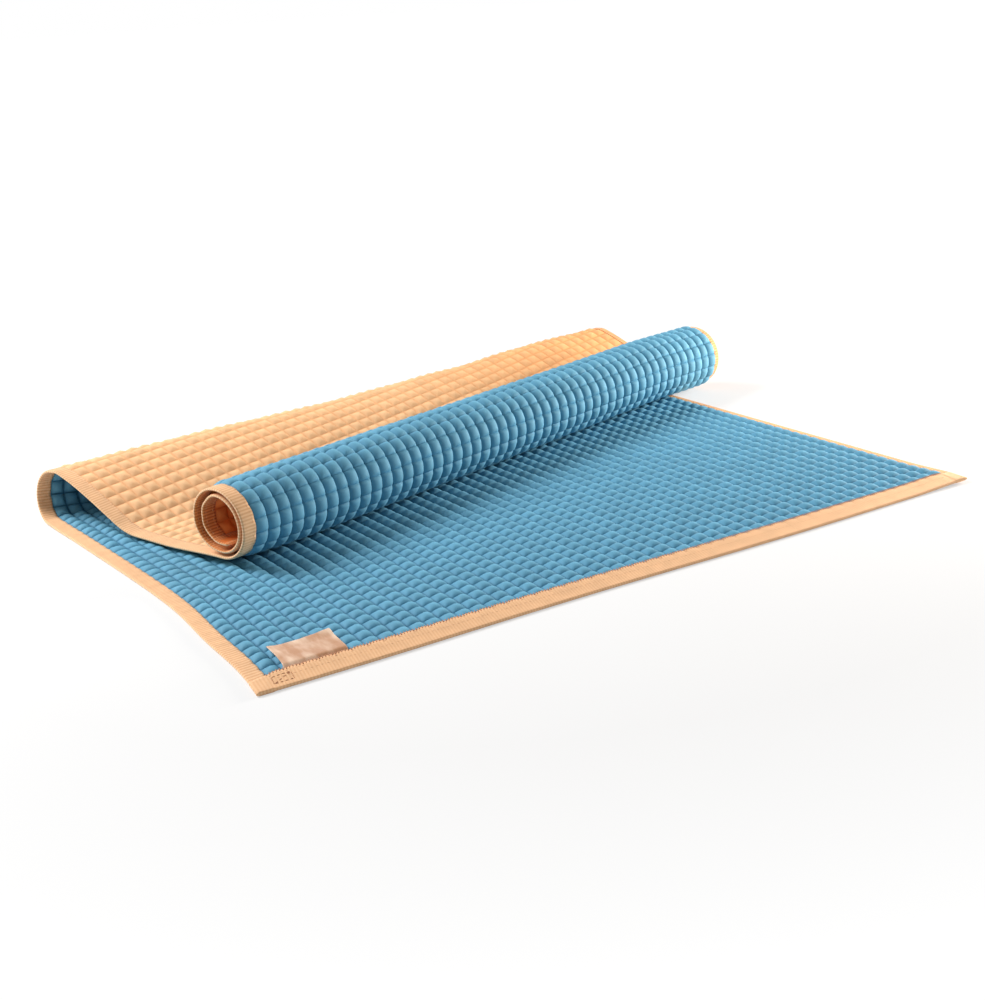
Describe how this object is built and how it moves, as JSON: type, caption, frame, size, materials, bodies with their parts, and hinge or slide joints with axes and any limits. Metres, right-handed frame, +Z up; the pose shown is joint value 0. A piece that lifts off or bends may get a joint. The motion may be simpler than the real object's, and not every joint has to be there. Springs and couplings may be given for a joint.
{
  "type": "rubber cot sheet",
  "caption": "Reversible quilted rubber cot sheet with woven edge binding, laid flat, folded back over itself and rolled up at its free end.",
  "frame": {"origin": "on the floor plane under the flat part of the sheet, 250 mm behind the front edge and half way between the side edges", "axes": "+X along the front edge to the right, +Y away from the front edge towards the fold, +Z up"},
  "size_m": [0.6512, 0.5132, 0.0633],
  "materials": {
    "blue_rubber": "matt moulded rubber with puffed square cells",
    "peach_rubber": "matt moulded rubber with low pyramid cells",
    "binding_tape": "ribbed woven tape",
    "thread": "spun sewing thread",
    "label_satin": "woven satin, blank"
  },
  "bodies": {
    "laid_sheet": {"binding_front": "binding_tape", "needle_thread_front": "thread", "bobbin_thread_front": "thread", "label": "label_satin", "blue_face_flat": "blue_rubber", "peach_back_flat": "peach_rubber", "binding_left_flat": "binding_tape", "needle_thread_left_flat": "thread", "bobbin_thread_left_flat": "thread", "binding_right_flat": "binding_tape", "needle_thread_right_flat": "thread", "bobbin_thread_right_flat": "thread", "blue_face_fold": "blue_rubber", "peach_back_fold": "peach_rubber", "binding_left_fold": "binding_tape", "needle_thread_left_fold": "thread", "bobbin_thread_left_fold": "thread", "binding_right_fold": "binding_tape", "needle_thread_right_fold": "thread", "bobbin_thread_right_fold": "thread"},
    "rolled_end": {"binding_back": "binding_tape", "needle_thread_back": "thread", "bobbin_thread_back": "thread", "blue_face_rolled": "blue_rubber", "peach_back_rolled": "peach_rubber", "binding_left_rolled": "binding_tape", "needle_thread_left_rolled": "thread", "bobbin_thread_left_rolled": "thread", "binding_right_rolled": "binding_tape", "needle_thread_right_rolled": "thread", "bobbin_thread_right_rolled": "thread"}
  },
  "joints": [
    {"name": "fold_opens", "type": "hinge", "parent": "laid_sheet", "child": "rolled_end", "pos_m": [-0.00502, 0.20967, 0.0224], "axis": [-0.9895, -0.1444, 0], "range_deg": [0, 90], "deforming": ["blue_face_fold", "peach_back_fold", "binding_left_fold", "needle_thread_left_fold", "bobbin_thread_left_fold", "binding_right_fold", "needle_thread_right_fold", "bobbin_thread_right_fold"]}
  ]
}
